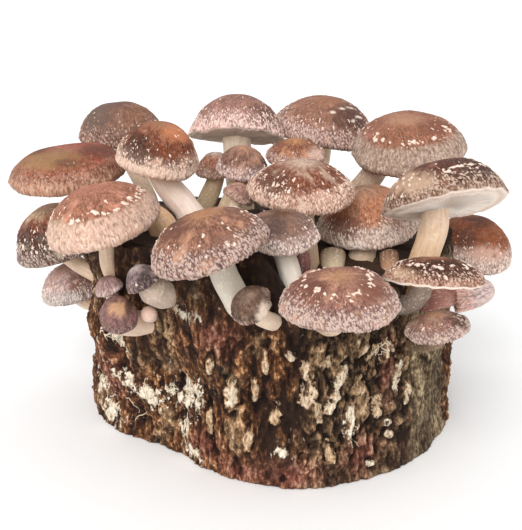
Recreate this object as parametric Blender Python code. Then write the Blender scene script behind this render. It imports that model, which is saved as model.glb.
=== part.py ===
"""Shiitake log: a short upright oak log with a crowd of shiitake on its cut end and upper bark.

Sizes in the driving dimensions and the tables are millimetres. The base stands on z = 0, the
log's axis is Z, -Y is the front. Every cap, every stem, every closed bud and the log is a solid
of its own. Each stem is rooted in a socket in the wood and ends just below its cap's gills.
"""
import math
import random
from collections import namedtuple

import bmesh
import bpy
from mathutils import Vector, noise

MM = 0.001
GAP = 0.35  # clearance between pieces that touch
SHARP_ANGLE = math.radians(50)  # edges that turn more than this stay crisp

# The log
LOG_HALF_WIDTH = 106.0
LOG_HALF_DEPTH = 106.0
LOG_FLARE = 3.5  # the foot is this much wider than the cut end
LOG_TOP_HEIGHT = 117.5  # at the log's axis
LOG_TOP_FALL = 0.09  # the cut falls towards the back, mm per mm
CHIP_DEPTH = 20.0  # the front rim is broken lower on the right
CHIP_LEFT, CHIP_RIGHT = 4.0, 104.0
CHIP_LEFT_BLEND, CHIP_RIGHT_BLEND = 9.0, 12.0  # half the width of the slope at either side
CHIP_BACK, CHIP_FRONT = 40.0, -90.0
FLAT_DEPTH = 26.0  # the foot is flattened towards the front left
FLAT_ANGLE = math.radians(-131)
FLAT_SPREAD = math.radians(33)
FLAT_RISE = 118.0  # the flattening dies out at this height
RIDGE_RELIEF, KNOB_RELIEF = 6.3, 4.2
RIDGES_AROUND, KNOBS_AROUND = 34, 24  # upright ridges and shorter knobs round the log
RIDGE_BREAKS, KNOB_ROWS = 1.8, 5.0  # how often a ridge and a knob change up the log
BARK_COLUMNS, BARK_ROWS = 48, 10
TOP_RINGS = (0.72, 0.36)  # in log radii

# Caps and stems
CAP_PROFILE = ((0.42, 0.90), (0.73, 0.62), (0.93, 0.27), (1.0, 0.0))  # radius, height of the dome
FULLER = 0.65  # how far a fullness of 1 lifts the dome, in dome heights
MARGIN, ROLL = 0.94, 0.13  # radius and depth of the inrolled edge, in cap radii
GILLS = (0.82, -0.04)  # where the gills start, in cap radii
OVAL, THREE_CORNERED = 0.035, 0.02  # how far the rim is pulled out of round, in cap radii
RIM_WAVE = 0.03  # how far the rim rises and falls, in cap radii
CAP_FACETS = ((10.0, 10), (19.0, 12), (math.inf, 14))  # caps below this radius, facets round them
SINK = 5.0  # a stem reaches this far into the wood
SINK_SLOPE = 0.2  # a stem in the bark goes down this much on its way in
BEND = 0.32  # share of its length over which a stem turns away from its cap or foot
STEM_SHARES = (0.0, 0.36, 0.7, 1.0)  # where a stem has its rings, from its cap to its foot
STEM_SIDES = 8

Mushroom = namedtuple("Mushroom", "centre radius height lean nod foot grows offset stem_radii")

# centre of the rim's plane, rim radius, dome height, lean to +X and nod to the front in degrees,
# the point where the stem leaves the log, how it grows there, how far off the cap's middle it
# meets the gills, and its radius below the cap, half way and at the foot
MUSHROOMS = {
    "back_left": Mushroom((-94, 60, 160), 25.2, 19.5, -3, 5, (-74, 44, 113), "up", 0, (5.5, 5, 6)),
    "upper_left": Mushroom((-62.5, -15, 157.5), 24, 21, 7, 10, (-42, -22, 119), "up", 0, (6, 7.7, 9.5)),
    "far_left": Mushroom((-117, 2, 146), 35, 15, -6, 2, (-56, -46, 120), "up", 10, (7, 7.2, 8)),
    "left": Mushroom((-86, -71, 134), 31, 20.5, -14, 2, (-80, -66, 105), "out", 0, (4.5, 4.2, 5)),
    "outer_left": Mushroom((-130.5, 30, 95.5), 26, 25, -16, 12, (-101, 22, 76), "out", 0, (5, 5, 5.5)),
    "front_left": Mushroom((-28.5, -114.2, 134.7), 29.5, 16.5, -15, 2, (-14, -100, 101), "out", 4, (6, 7, 8)),
    "low_left": Mushroom((-126, 44, 61), 20, 17, -10, 10, (-98, 34, 49), "out", 0, (4.5, 4.5, 5)),
    "button_front": Mushroom((-8.7, -124, 108), 10, 9, -22, 35, (2, -101, 92), "out", 0, (4, 4.5, 5)),
    "button_upper": Mushroom((-63, -97, 112), 9, 8.5, -29, 15, (-50, -84, 100), "out", 0, (4.2, 7.6, 6)),
    "button_left": Mushroom((-77, -91, 91), 10.4, 11, 12, 38, (-66, -74, 81), "out", 0, (6.5, 7, 6.5)),
    "button_behind": Mushroom((-83, -80, 102), 7.4, 7, -15, 7, (-79, -61, 92), "out", 0, (3.4, 3.4, 4)),
    "back_middle": Mushroom((-19, 52, 159.5), 29, 25.5, 3, -19, (-17, 52, 112), "up", 0, (9, 8, 8.5)),
    "inner_left": Mushroom((-31, 22, 143), 12, 12, 1, 4, (-40, 8, 116), "up", 0, (5, 5.5, 6)),
    "inner_middle": Mushroom((-15, 2, 148), 14.5, 14.5, 6, 9, (-27, -6, 117), "up", 0, (4.8, 4.8, 5.5)),
    "inner_low": Mushroom((-17, -24, 138), 9.5, 8, 25, -2, (-20, -32, 120), "up", 0, (3.6, 3.6, 4)),
    "top_small": Mushroom((16, 4, 156), 18, 10, -1, 7, (16, 6, 117), "up", 0, (4, 4, 4.5)),
    "middle": Mushroom((18, -50, 147), 27.5, 17, 2, 7, (21, -50, 107), "up", 0, (6, 6, 7)),
    "back_right": Mushroom((37, 72, 162), 32, 18.5, 6, 11, (31, 56, 112), "up", 0, (6.5, 6.5, 7)),
    "upper_right": Mushroom((84, 18, 157.5), 34.5, 20, -5, 9, (45, 11, 116), "up", 19, (7, 7, 7.5)),
    "right": Mushroom((91.5, -68, 143.8), 33.3, 22.3, -8, -25.5, (80, -68, 104), "up", 7, (7.5, 7.5, 8.5)),
    "middle_right": Mushroom((57, -24, 121), 28.3, 23.5, -8.5, 6, (52.5, -38.5, 104.2), "up", 9.5, (7, 7.3, 8.4)),
    "far_right": Mushroom((130.5, 42, 89), 26.5, 20, 8, 14, (98, 30, 78), "out", 0, (5, 5, 5.5)),
    "middle_low": Mushroom((5.8, -86, 132.8), 18.7, 12, -1, 13, (12, -93, 106), "up", 0, (5.5, 5.6, 6)),
    "front_right": Mushroom((32, -138, 115), 27.3, 13, -5, 6, (28, -99, 90), "out", 4, (5.5, 5.5, 6)),
    "lower_right": Mushroom((81, -104, 115), 24.5, 10.5, 1, -11, (69, -84, 94.5), "out", 8, (5, 5.3, 5.4)),
    "outer_right": Mushroom((102.6, -58, 91), 10.3, 20.5, 80, 2, (85, -66, 91), "out", 0, (5.2, 5.5, 6)),
    "low_right": Mushroom((86, -96, 86), 16, 8, -12, 0, (76, -70, 68), "out", 0, (4, 4, 4.5)),
}

# domes that are fuller (above 0) or more pointed (below 0) than the common one
FULLNESS = {
    "back_left": 0.2, "upper_left": 0.3, "far_left": 0.8, "left": 0.4, "outer_left": 0.3,
    "low_left": 0.3, "front_left": 0.3, "button_front": 0.3, "back_middle": 0.3,
    "top_small": -0.4, "middle": -0.3, "back_right": 0.1, "upper_right": 0.5, "right": 0.4,
    "middle_right": -0.3, "far_right": 0.2, "front_right": 0.3, "lower_right": 0.5,
    "outer_right": 0.4,
}
THIN_MARGINS = {"right": 0.04, "back_middle": 0.04, "lower_right": 0.07}  # instead of ROLL

# length and radius shares of a round pinhead and of a stout one, from its tip to its foot
ROUND_BUD = ((1, 0.3), (0.85, 0.75), (0.6, 1), (0.3, 0.95), (0, 0.7))
STOUT_BUD = ((1, 0.75), (0.9, 0.95), (0.6, 1), (0.3, 0.95), (0, 0.9))
Bud = namedtuple("Bud", "foot radius length lean nod profile")
BUDS = {
    "bud_left": Bud((-61, -84, 88), 4.2, 8, -20, 50, ROUND_BUD),
    "bud_middle": Bud((17, -68, 106), 5, 14, 2, 8, ROUND_BUD),
    "bud_tucked": Bud((22, -101.5, 105), 7, 13.5, 0, 0, ROUND_BUD),
    "bud_inner_left": Bud((35, -53, 104), 7, 11.5, 5, -42, STOUT_BUD),
    "bud_inner_right": Bud((66, -56, 103.5), 5.2, 12.5, 0, -42, STOUT_BUD),
}

SKIN = (0.32, 0.17, 0.11)
STEM_FLESH = (0.62, 0.48, 0.34)
BARK = (0.12, 0.075, 0.045)


def material(name, colour, roughness):
    made = bpy.data.materials.new(name)
    made.use_nodes = True
    shader = made.node_tree.nodes["Principled BSDF"]
    shader.inputs["Base Color"].default_value = (*colour, 1.0)
    shader.inputs["Roughness"].default_value = roughness
    shader.inputs["Metallic"].default_value = 0.0
    return made


def new_object(name, mesh_builder, finish):
    """A smooth-shaded object from a bmesh in millimetres, its twisted quads split in triangles."""
    bmesh.ops.triangulate(mesh_builder, faces=mesh_builder.faces)
    bmesh.ops.scale(mesh_builder, vec=(MM, MM, MM), verts=mesh_builder.verts)
    bmesh.ops.recalc_face_normals(mesh_builder, faces=mesh_builder.faces)
    mesh = bpy.data.meshes.new(name)
    mesh_builder.to_mesh(mesh)
    mesh_builder.free()
    mesh.materials.append(finish)
    mesh.shade_smooth()
    mesh.set_sharp_from_angle(angle=SHARP_ANGLE)
    made = bpy.data.objects.new(name, mesh)
    bpy.context.scene.collection.objects.link(made)
    return made


def smooth_step(value, start, end):
    share = min(max((value - start) / (end - start), 0.0), 1.0)
    return share * share * (3 - 2 * share)


def growth_axis(lean, nod):
    """Unit vector of a cap that leans to +X and nods to the front."""
    return Vector((math.tan(math.radians(lean)), -math.tan(math.radians(nod)), 1)).normalized()


# The log


def top_height(x, y):
    """Height of the cut end: a sloping saw cut, chipped lower along the right of the front rim."""
    across = smooth_step(x, CHIP_LEFT - CHIP_LEFT_BLEND, CHIP_LEFT + CHIP_LEFT_BLEND)
    across *= 1 - smooth_step(x, CHIP_RIGHT - CHIP_RIGHT_BLEND, CHIP_RIGHT + CHIP_RIGHT_BLEND)
    along = smooth_step(y, CHIP_BACK, CHIP_FRONT)
    return LOG_TOP_HEIGHT - LOG_TOP_FALL * y - CHIP_DEPTH * across * along


def bark_radius(angle, share):
    """Distance of the bark from the axis, share 0 at the foot and 1 at the cut end."""
    outline = 1 / math.hypot(math.cos(angle) / LOG_HALF_WIDTH, math.sin(angle) / LOG_HALF_DEPTH)
    height = share * LOG_TOP_HEIGHT
    turned = math.remainder(angle - FLAT_ANGLE, 2 * math.pi) / FLAT_SPREAD
    flat = FLAT_DEPTH * math.exp(-turned * turned) * (1 - smooth_step(height, 0, FLAT_RISE))
    spoke = Vector((math.cos(angle), math.sin(angle), 0)) / (2 * math.pi)
    ridges = noise.noise(spoke * RIDGES_AROUND + Vector((0, 0, share * RIDGE_BREAKS)))
    knobs = noise.noise(spoke * KNOBS_AROUND + Vector((9, 0, share * KNOB_ROWS)))
    relief = RIDGE_RELIEF * ridges + KNOB_RELIEF * knobs
    return outline + LOG_FLARE * (1 - share) - flat + relief


def make_log(finish):
    builder = bmesh.new()
    rows = []
    for row in range(BARK_ROWS):
        share = row / (BARK_ROWS - 1)
        ring = []
        for column in range(BARK_COLUMNS):
            angle = 2 * math.pi * column / BARK_COLUMNS
            radius = bark_radius(angle, share)
            x, y = radius * math.cos(angle), radius * math.sin(angle)
            ring.append(builder.verts.new((x, y, share * top_height(x, y))))
        rows.append(ring)
    for scale in TOP_RINGS:
        ring = []
        for vertex in rows[BARK_ROWS - 1]:
            x, y = vertex.co.x * scale, vertex.co.y * scale
            ring.append(builder.verts.new((x, y, top_height(x, y))))
        rows.append(ring)
    for lower, upper in zip(rows, rows[1:]):
        for column in range(BARK_COLUMNS):
            after = (column + 1) % BARK_COLUMNS
            builder.faces.new((lower[column], lower[after], upper[after], upper[column]))
    heart = builder.verts.new((0, 0, top_height(0, 0)))
    for column in range(BARK_COLUMNS):
        builder.faces.new((rows[-1][column], rows[-1][(column + 1) % BARK_COLUMNS], heart))
    builder.faces.new(reversed(rows[0]))
    return new_object("log", builder, finish)


# The mushrooms


def make_cap(name, mushroom, finish):
    """A turned dome with an inrolled margin and a sunk gill face, pulled a little out of round."""
    wobble = random.Random(name)
    radius, height = mushroom.radius, mushroom.height
    lift = FULLER * FULLNESS.get(name, 0.0)
    profile = [(0.0, height)]
    for r, z in CAP_PROFILE:
        profile.append((radius * r, height * (z + lift * r * r * (1 - r * r))))
    profile.append((radius * MARGIN, -radius * THIN_MARGINS.get(name, ROLL)))
    profile.append((radius * GILLS[0], radius * GILLS[1]))
    profile.append((0.0, radius * GILLS[1]))
    builder = bmesh.new()
    points = [builder.verts.new((r, 0, z)) for r, z in profile]
    edges = [builder.edges.new(pair) for pair in zip(points, points[1:])]
    bmesh.ops.spin(
        builder,
        geom=points + edges,
        cent=(0, 0, 0),
        axis=(0, 0, 1),
        angle=2 * math.pi,
        steps=next(facets for below, facets in CAP_FACETS if radius < below),
        use_merge=True,
    )
    bmesh.ops.remove_doubles(builder, verts=builder.verts, dist=radius * 1e-4)
    oval, corner = wobble.uniform(0, math.pi), wobble.uniform(0, math.pi)
    for vertex in builder.verts:
        turn = math.atan2(vertex.co.y, vertex.co.x)
        swell = OVAL * math.cos(2 * (turn - oval)) + THREE_CORNERED * math.cos(3 * (turn - corner))
        out = vertex.co.xy.length / radius
        vertex.co.z += radius * RIM_WAVE * out * out * math.cos(2 * (turn - corner))
        vertex.co.xy *= 1 + swell
    cap = new_object("cap_" + name, builder, finish)
    cap.location = Vector(mushroom.centre) * MM
    cap.rotation_mode = "QUATERNION"
    cap.rotation_quaternion = growth_axis(mushroom.lean, mushroom.nod).to_track_quat("Z", "Y")
    return cap


def inward(foot, grows):
    """Direction in which a stem goes down into the wood: from the cut end or through the bark."""
    if grows == "up":
        return Vector((0, 0, -1))
    return Vector((-foot.x, -foot.y, -SINK_SLOPE * foot.xy.length)).normalized()


def stem_line(mushroom):
    """Point, radius and direction at each ring of a stem, from the gills down into the wood."""
    axis = growth_axis(mushroom.lean, mushroom.nod)
    head = Vector(mushroom.centre) + axis * (mushroom.radius * GILLS[1] - GAP)
    foot = Vector(mushroom.foot)
    aside = foot - head
    head += (aside - axis * aside.dot(axis)).normalized() * mushroom.offset
    down = inward(foot, mushroom.grows)
    reach = (head - foot).length * BEND
    first, second = head - axis * reach, foot - down * reach
    under_cap, half_way, at_foot = mushroom.stem_radii
    line = []
    for share, thick in zip(STEM_SHARES, (under_cap, half_way, half_way, at_foot)):
        left = 1 - share
        point = left**3 * head + 3 * left**2 * share * first
        point += 3 * left * share**2 * second + share**3 * foot
        along = left**2 * (first - head) + 2 * left * share * (second - first)
        along += share**2 * (foot - second)
        line.append((point, thick, along.normalized()))
    line.append((foot + down * SINK, at_foot, down))
    return line


def tube(line, sides):
    """Closed tube along a line of points, each with its radius and direction."""
    builder = bmesh.new()
    rings = []
    side = line[0][2].orthogonal()
    for point, radius, along in line:
        side = (side - along * side.dot(along)).normalized()
        across = along.cross(side)
        ring = []
        for step in range(sides):
            turn = 2 * math.pi * step / sides
            spoke = side * math.cos(turn) + across * math.sin(turn)
            ring.append(builder.verts.new(point + spoke * radius))
        rings.append(ring)
    for upper, lower in zip(rings, rings[1:]):
        for step in range(sides):
            after = (step + 1) % sides
            builder.faces.new((upper[step], upper[after], lower[after], lower[step]))
    builder.faces.new(rings[0])
    builder.faces.new(reversed(rings[-1]))
    return builder


def make_stem(name, mushroom, finish):
    return new_object("stem_" + name, tube(stem_line(mushroom), STEM_SIDES), finish)


def bud_line(bud):
    """A closed pinhead that sits in the wood, listed from its tip to its foot."""
    axis = growth_axis(bud.lean, bud.nod)
    line = []
    for along, wide in bud.profile:
        line.append((Vector(bud.foot) + axis * bud.length * along, bud.radius * wide, -axis))
    return line


def make_bud(name, bud, finish):
    return new_object(name, tube(bud_line(bud), STEM_SIDES), finish)


def add_socket_cutter(name, line, cutters):
    """The room a stem takes in the wood, with the clearance all round."""
    wider = [(point, radius + GAP, along) for point, radius, along in line]
    end, radius, along = wider[-1]
    wider[-1] = (end + along * GAP, radius, along)
    cutter = new_object("room_for_" + name, tube(wider, STEM_SIDES), bpy.data.materials["bark"])
    bpy.context.scene.collection.objects.unlink(cutter)
    cutters.objects.link(cutter)
    cutter.hide_render = True
    cutter.display_type = "WIRE"


def cut_sockets(log, cutters):
    """Takes the room of every stem and bud out of the log in one cut."""
    modifier = log.modifiers.new("sockets", "BOOLEAN")
    modifier.operation = "DIFFERENCE"
    modifier.solver = "EXACT"
    modifier.operand_type = "COLLECTION"
    modifier.collection = cutters


for leftover in list(bpy.data.objects):
    bpy.data.objects.remove(leftover)

bark = material("bark", BARK, 0.9)
skin = material("cap_skin", SKIN, 0.6)
flesh = material("stem_flesh", STEM_FLESH, 0.7)

log = make_log(bark)
rooms = bpy.data.collections.new("stem_rooms")
bpy.context.scene.collection.children.link(rooms)
for place, mushroom in MUSHROOMS.items():
    make_cap(place, mushroom, skin)
    make_stem(place, mushroom, flesh)
    add_socket_cutter(place, stem_line(mushroom), rooms)
for place, bud in BUDS.items():
    make_bud(place, bud, skin)
    add_socket_cutter(place, bud_line(bud), rooms)
cut_sockets(log, rooms)
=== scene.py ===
import math
import random
from collections import namedtuple

import bmesh
import bpy
import numpy as np
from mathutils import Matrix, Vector, noise


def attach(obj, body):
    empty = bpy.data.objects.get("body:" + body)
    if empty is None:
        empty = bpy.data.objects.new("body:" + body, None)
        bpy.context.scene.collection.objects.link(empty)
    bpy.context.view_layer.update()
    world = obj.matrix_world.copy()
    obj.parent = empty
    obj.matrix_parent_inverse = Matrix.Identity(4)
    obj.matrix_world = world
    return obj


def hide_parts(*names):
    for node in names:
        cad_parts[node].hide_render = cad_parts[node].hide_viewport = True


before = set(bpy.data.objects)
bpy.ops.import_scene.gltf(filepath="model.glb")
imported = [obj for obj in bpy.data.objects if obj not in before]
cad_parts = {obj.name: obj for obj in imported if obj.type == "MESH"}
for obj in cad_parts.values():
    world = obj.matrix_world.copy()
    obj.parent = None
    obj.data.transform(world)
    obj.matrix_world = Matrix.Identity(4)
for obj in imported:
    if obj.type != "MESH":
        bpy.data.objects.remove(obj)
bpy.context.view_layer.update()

# The log. A short round of oak, sawn across at both ends and stood on one of them, with its
# thick bark left on. The bark is split into upright knobby plates with deep dark fissures and has
# flaked to cream in places; the upper saw cut is weathered to a dark brown.
# sizes are in mm
MM = 0.001
LOG_HALF_WIDTH, LOG_FLARE = 106, 3.5
LOG_TOP_HEIGHT, LOG_TOP_FALL = 117.5, 0.09
# the chip out of the upper rim
CHIP_DEPTH = 20
CHIP_LEFT, CHIP_RIGHT = 4, 104
CHIP_LEFT_BLEND, CHIP_RIGHT_BLEND = 9, 12
CHIP_BACK, CHIP_FRONT = 40, -90
# the flattened side at the left of the foot
FLAT_DEPTH, FLAT_RISE = 26, 118
FLAT_ANGLE, FLAT_SPREAD = math.radians(-131), math.radians(33)
# the great ridges and knobs of the bark: how far they stand out, how many, how broken
RIDGE_RELIEF, KNOB_RELIEF = 6.3, 4.2
RIDGES_AROUND, KNOBS_AROUND = 34, 24
RIDGE_BREAKS, KNOB_ROWS = 1.8, 5
# the bark's own forms: size along X, Y and Z, and how far each stands out
PLATE_SIZE, PLATE_RISE = (10, 10, 30), 3.4
ROPE_SIZE, ROPE_RISE = (4.6, 4.6, 15), 1.1
STRAND_SIZE, STRAND_RISE = (2.3, 2.3, 6), 0.7
PIT_SIZE, PIT_DEPTH = (7.5, 7.5, 10), 1.7
LUMP_SIZE, LUMP_RISE = (3.6, 3.6, 4.6), 0.9
CRUMB_SIZE, CRUMB_RISE = (1.7, 1.7, 2.2), 0.6
# sides of the log, by middle and half spread
SMOOTH_SIDE = math.radians(-31), math.radians(13)
PLATED_SIDE = math.radians(-64), math.radians(24)
GREY_SIDE = math.radians(-62), math.radians(17)
BARK_COLUMNS, BARK_ROWS, CUT_RINGS = 660, 116, 22
BARK_THICKNESS = 8
SPLITS, SPLIT_WIDTH, SPLIT_DEPTH = 7, 0.13, 3.2
YEAR_RINGS, RING_RISE, CUT_WAVE = 190, 0.35, 0.5
RAGGED_RIM, RIM_SPLINTERS = 1.6, 0.8
GRAIN_MIDDLE = 1.555  # what the grain's three noises add on average, and a little more
# where the bark has flaked to cream inner bark: angle, height, half width and half height in mm
PALE_PATCHES = (
    (-146, 37, 11, 10), (-136, 34, 9, 9), (-118, 43, 12, 11), (-126, 37, 7, 8), (-123, 21, 5, 9),
    (-160, 10, 12, 9), (-115, 93, 9, 4), (-119, 6, 10, 5), (-168, 25, 10, 7), (-148, 63, 8, 5),
    (-86, 20, 4, 3), (20, 60, 6, 12), (95, 40, 8, 12), (150, 70, 6, 14), (178, 40, 5, 10),
)
# plates of bark with a pale face that stand out: angle, height, half width, half height, slant
# and how white the face is
CREAM_RISE, CREAM_GROOVE = 1.6, 1.4
CREAM_PLATES = (
    (-79, 71, 4, 8, 0, 0.25), (-79, 57, 5, 9, 0.1, 0.4), (-70, 67, 3.4, 9, 0.3, 0.6),
    (-72, 54, 3.6, 11, 0.3, 0.7), (-67, 38, 3.6, 12, 0.1, 1), (-49, 60, 4.2, 13, 0.1, 0.75),
    (-60, 80, 1.6, 7, 0.6, 0.25), (-56, 78, 1.6, 9, 0.1, 0.3), (-53, 81, 1.6, 7, -0.6, 0.25),
    (-84, 80, 4, 3, 0, 0.6), (-91, 66, 2, 7, 0, 0.5), (-52, 23, 2.5, 3, 0, 0.6),
    (-53, 31, 2, 3, 0, 0.7), (-59, 7, 3, 2, 0, 0.9), (-74, 76, 2, 5, 0.3, 0.3),
    (-64, 60, 2.5, 7, 0.2, 0.1), (-101, 47, 4.5, 9, 0.1, 0.6), (-94, 50, 2.5, 8, 0, 0.4),
    (-107, 62, 2.5, 6, 0.2, 0.3), (-88, 40, 3, 8, 0.2, 0.1), (-110, 28, 3, 9, 0.1, 0.15),
    (-73, 22, 3, 8, -0.2, 0.1), (-96, 24, 3, 7, 0.2, 0.2), (-57, 44, 3.5, 10, 0.1, 0.3),
    (-76, 46, 2.6, 8, -0.1, 0.3), (-46, 46, 2.4, 9, 0.2, 0.5), (-63, 82, 3, 6, 0.3, 0.3),
    (60, 70, 5, 12, 0.2, 0.5), (110, 60, 5, 14, -0.2, 0.4),
)
# reddish rotten bark: angle, height, half width and half height
RED_PATCHES = (
    (-160, 38, 20, 13), (-63, 14, 13, 10), (-98, 6, 14, 6), (-54, 60, 5, 16), (80, 20, 20, 16),
    (-84, 8, 16, 8), (-112, 14, 12, 7), (-104, 84, 10, 7),
)
KNOT_ANGLE, KNOT_HEIGHT = math.radians(-80), 17
KNOT_HALF_WIDTH, KNOT_HALF_HEIGHT = 4.5, 6
KNOT_RIM_RISE, KNOT_HOLLOW = 1.6, 1.2


def rows_of(mesh, what):
    """The places of a mesh's vertices ("co") or the ways that they face ("normal")."""
    flat = np.empty(len(mesh.vertices) * 3, np.float32)
    mesh.vertices.foreach_get(what, flat)
    return flat.reshape(-1, 3).astype(float)


def put(mesh, places):
    mesh.vertices.foreach_set("co", places.astype(np.float32).ravel())
    mesh.update()


def keep(mesh, **marks):
    """Stores numbers, or places of three numbers, at the vertices for the material to read."""
    for name, values in marks.items():
        kind, field = ("FLOAT", "value") if values.ndim == 1 else ("FLOAT_VECTOR", "vector")
        kept = mesh.attributes.new(name, kind, "POINT")
        kept.data.foreach_set(field, values.astype(np.float32).ravel())


BLANKS = {}


def blank(rings, segments):
    """A plain closed tube rolled from a grid, one unit between its rings, pointed at both ends."""
    form = bmesh.new()
    bmesh.ops.create_grid(form, x_segments=segments, y_segments=rings - 1, size=0.5)
    for corner in form.verts:
        turn = 2 * math.pi * (corner.co.x + 0.5)
        ring = round((corner.co.y + 0.5) * (rings - 1))
        wide = 0 < ring < rings - 1
        corner.co = (wide * math.cos(turn), wide * math.sin(turn), ring)
    bmesh.ops.remove_doubles(form, verts=form.verts, dist=1e-4)
    bmesh.ops.recalc_face_normals(form, faces=form.faces)
    mesh = bpy.data.meshes.new("blank")
    form.to_mesh(mesh)
    form.free()
    places = rows_of(mesh, "co")
    return mesh, np.rint(places[:, 2]).astype(int), np.arctan2(places[:, 1], places[:, 0])


def turned(profile, segments):
    """A closed mesh turned about Z from (radius, height) points; its vertices' points and angles."""
    size = len(profile), segments
    if size not in BLANKS:
        BLANKS[size] = blank(*size)
    plain, point, angle = BLANKS[size]
    wide, high = np.array(profile).T
    mesh = plain.copy()
    put(mesh, np.column_stack([wide[point] * np.cos(angle), wide[point] * np.sin(angle), high[point]]))
    if np.sum((wide[1:] + wide[:-1]) * np.diff(high)) < 0:
        mesh.flip_normals()
    return mesh, point, angle


def grain(places, size, seed=0):
    """Smooth noise from about -1 to 1, with lumps of the given size along each axis."""
    scaled = places / np.array(size) + seed
    return np.array([noise.noise(place) for place in scaled.tolist()])


def cells(places, size, seed=0):
    """Distance to the nearest and to the second nearest of a scatter of points."""
    scaled = places / np.array(size) + seed
    near = np.array([noise.voronoi(place)[0][:2] for place in scaled.tolist()])
    return near[:, 0], near[:, 1]


def ease(values, start, end):
    """0 before the start and 1 past the end, with a smooth rise between."""
    share = np.clip((values - start) / (end - start), 0, 1)
    return share * share * (3 - 2 * share)


def apart(angle, other):
    """The turn from the other angle to this one, half a round at most either way."""
    return np.remainder(angle - other + math.pi, 2 * math.pi) - math.pi


def around_here(angle, middle, half):
    """1 on the side of the log that faces an angle, fading to 0 past the given half width."""
    return 1 - ease(np.abs(apart(angle, middle)), 0.8 * half, 1.35 * half)


def cut_height(x, y):
    """Height of the upper saw cut, chipped lower along the right of the front rim."""
    across = ease(x, CHIP_LEFT - CHIP_LEFT_BLEND, CHIP_LEFT + CHIP_LEFT_BLEND)
    across = across * (1 - ease(x, CHIP_RIGHT - CHIP_RIGHT_BLEND, CHIP_RIGHT + CHIP_RIGHT_BLEND))
    along = 1 - ease(y, CHIP_FRONT, CHIP_BACK)
    return LOG_TOP_HEIGHT - LOG_TOP_FALL * y - CHIP_DEPTH * across * along


def foot_outline(angle, share):
    """Distance of the log's plain outline from its axis, with its flare and its flattened foot."""
    rise = 1 - ease(share * LOG_TOP_HEIGHT, 0, FLAT_RISE)
    flat = FLAT_DEPTH * np.exp(-((apart(angle, FLAT_ANGLE) / FLAT_SPREAD) ** 2)) * rise
    return LOG_HALF_WIDTH + LOG_FLARE * (1 - share) - flat


def bark_form(angle, share):
    """Distance of the log's surface from its axis before the bark's own relief."""
    spoke = np.stack([np.cos(angle), np.sin(angle), 0 * angle], 1) / (2 * math.pi)
    up = np.stack([0 * share, 0 * share, share], 1)
    ridges = grain(spoke * RIDGES_AROUND + up * RIDGE_BREAKS, 1)
    knobs = grain(spoke * KNOBS_AROUND + up * KNOB_ROWS, 1, np.array((9, 0, 0)))
    relief = RIDGE_RELIEF * ridges + KNOB_RELIEF * knobs
    return foot_outline(angle, share) + relief


def bark_relief(angle, height):
    """Plates, ropes and crumbs of the bark, out from its middle level, in mm."""
    around = np.stack([np.cos(angle), np.sin(angle)], 1) * LOG_HALF_WIDTH
    place = np.column_stack([around, height])
    warp = grain(place, (19, 19, 30), 5)
    place[:, :2] *= (1 + 0.05 * warp)[:, None]
    place[:, 2] += 9 * grain(place, (12, 12, 22), 3)
    nearest, second = cells(place, PLATE_SIZE)
    plates = ease(second - nearest, 0, 0.3)
    ropes = 1 - np.abs(grain(place, ROPE_SIZE, 2)) * 3.2
    strands = 1 - np.abs(grain(place, STRAND_SIZE, 6)) * 3.4
    pits = ease(grain(place, PIT_SIZE, 11), -0.5, -0.12)
    lumps = grain(place, LUMP_SIZE, 8)
    crumbs = grain(place, CRUMB_SIZE, 7)
    plated = 0.25 + 0.5 * around_here(angle, *PLATED_SIDE)
    plated *= ease(height, 0, 26)
    calm = 1 - 0.7 * around_here(angle, *SMOOTH_SIDE)
    relief = PLATE_RISE * (plates - 0.8) * plated * calm
    relief = relief + ROPE_RISE * (ropes - 0.35) * calm + LUMP_RISE * lumps * calm
    relief += STRAND_RISE * (strands - 0.35) * calm + PIT_DEPTH * (pits - 0.85) * calm + CRUMB_RISE * crumbs
    return relief


def spots(patches, angle, height):
    """How near each place of the bark is to one of the given patches, 1 in its middle."""
    near = np.zeros(len(angle))
    for patch in patches:
        # a patch that gives no slant stands upright
        at_angle, at_height, half_width, half_height, slant = (*patch, 0)[:5]
        above = height - at_height
        aside = apart(angle, math.radians(at_angle)) * LOG_HALF_WIDTH - slant * above
        near = np.maximum(near, np.exp(-0.8 * ((aside / half_width) ** 2 + (above / half_height) ** 2)))
    return near


def linear(*colour):
    """A colour as the eye names it, 0 to 255, turned to the light it gives back."""
    return tuple(((v / 255 + 0.055) / 1.055) ** 2.4 if v > 10 else v / 3294.6 for v in colour) + (1,)


def new_material(name, roughness):
    """A dull new material, with its nodes and its shader."""
    made = bpy.data.materials.new(name)
    made.use_nodes = True
    shader = made.node_tree.nodes["Principled BSDF"]
    shader.inputs["Roughness"].default_value = roughness
    shader.inputs["Specular IOR Level"].default_value = 0.25
    return made, made.node_tree, shader


def add(tree, kind, settings=None, **sockets):
    """Adds a shader node; a socket is given a value, or another node's output to be joined to."""
    made = tree.nodes.new(kind)
    for key, value in (settings or {}).items():
        setattr(made, key, value)
    for key, value in sockets.items():
        socket = made.inputs[int(key[1:])] if key[1:].isdigit() else made.inputs[key]
        if isinstance(value, bpy.types.NodeSocket):
            tree.links.new(value, socket)
        else:
            socket.default_value = value
    return made


def ramp(tree, value, *stops, way="LINEAR"):
    """Colours or greys laid along a value; each stop is its position and its colour."""
    made = add(tree, "ShaderNodeValToRGB", i0=value)
    made.color_ramp.interpolation = way
    while len(made.color_ramp.elements) < len(stops):
        made.color_ramp.elements.new(0.5)
    for element, (position, colour) in zip(made.color_ramp.elements, stops):
        element.position = position
        element.color = linear(*colour) if isinstance(colour, tuple) else (colour, colour, colour, 1)
    return made.outputs[0]


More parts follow.
